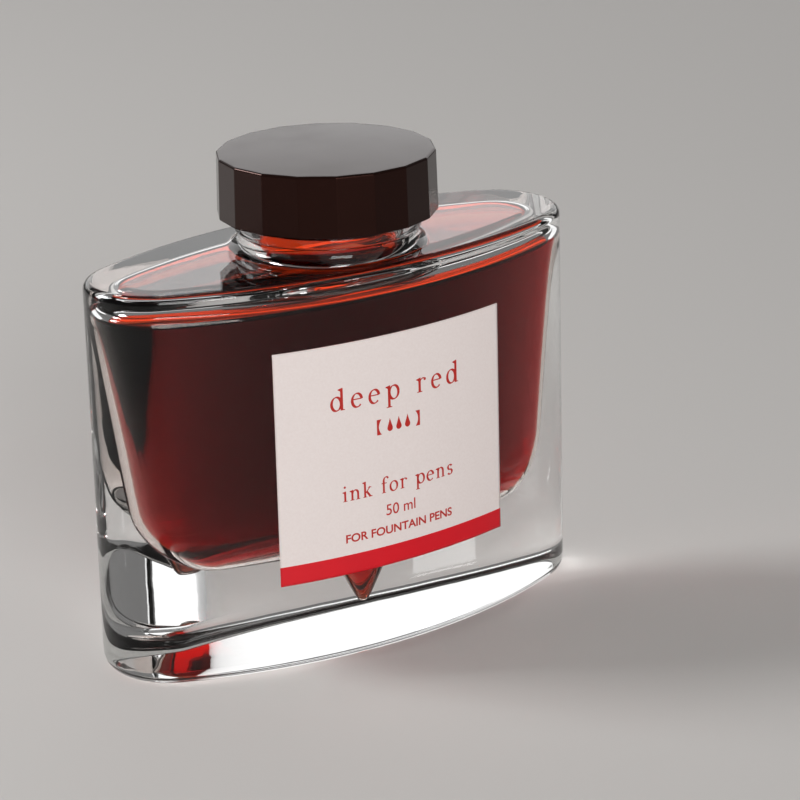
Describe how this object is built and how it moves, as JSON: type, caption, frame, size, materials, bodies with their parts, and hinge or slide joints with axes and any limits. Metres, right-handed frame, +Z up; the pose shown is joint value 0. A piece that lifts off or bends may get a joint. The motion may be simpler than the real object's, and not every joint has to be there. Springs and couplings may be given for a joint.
{
  "type": "ink bottle",
  "caption": "Thick glass ink bottle with a lens-shaped plan, a well in its floor, a paper label and a faceted screw cap with a liner.",
  "frame": {"origin": "centre of the plane that the bottle stands on", "axes": "+Z up through the neck, +X along the bottle's long side, the label faces -Y"},
  "size_m": [0.082, 0.0346, 0.075],
  "materials": {
    "clear_glass": "clear moulded soda-lime glass, fire-polished",
    "red_ink": "orange-red dye ink, a water-thin liquid that looks near black where it is deep",
    "cap_plastic": "glossy dark brown-black moulded plastic",
    "liner_foam": "white polyethylene foam",
    "liner_film": "smooth white polyethylene film",
    "adhesive": "clear pressure-sensitive adhesive",
    "label_paper": "smooth uncoated white paper printed in red"
  },
  "bodies": {
    "bottle": {"glass_bottle": "clear_glass", "ink": "red_ink", "label_adhesive": "adhesive", "front_label": "label_paper"},
    "seal": {"liner_backing": "liner_foam", "liner_facing": "liner_film"},
    "cap": {"cap_shell": "cap_plastic"}
  },
  "joints": [
    {"name": "cap_rise", "type": "slide", "parent": "bottle", "child": "seal", "axis": [0, 0, 1], "range_m": [0, 0.0161]},
    {"name": "cap_turn", "type": "hinge", "parent": "seal", "child": "cap", "pos_m": [0, 0, 0.0702], "axis": [0, 0, 1], "range_deg": [0, 1800]}
  ],
  "couplings": [
    {"joint": "cap_rise", "follows": "cap_turn", "m_per_rad": 0.0005093}
  ]
}
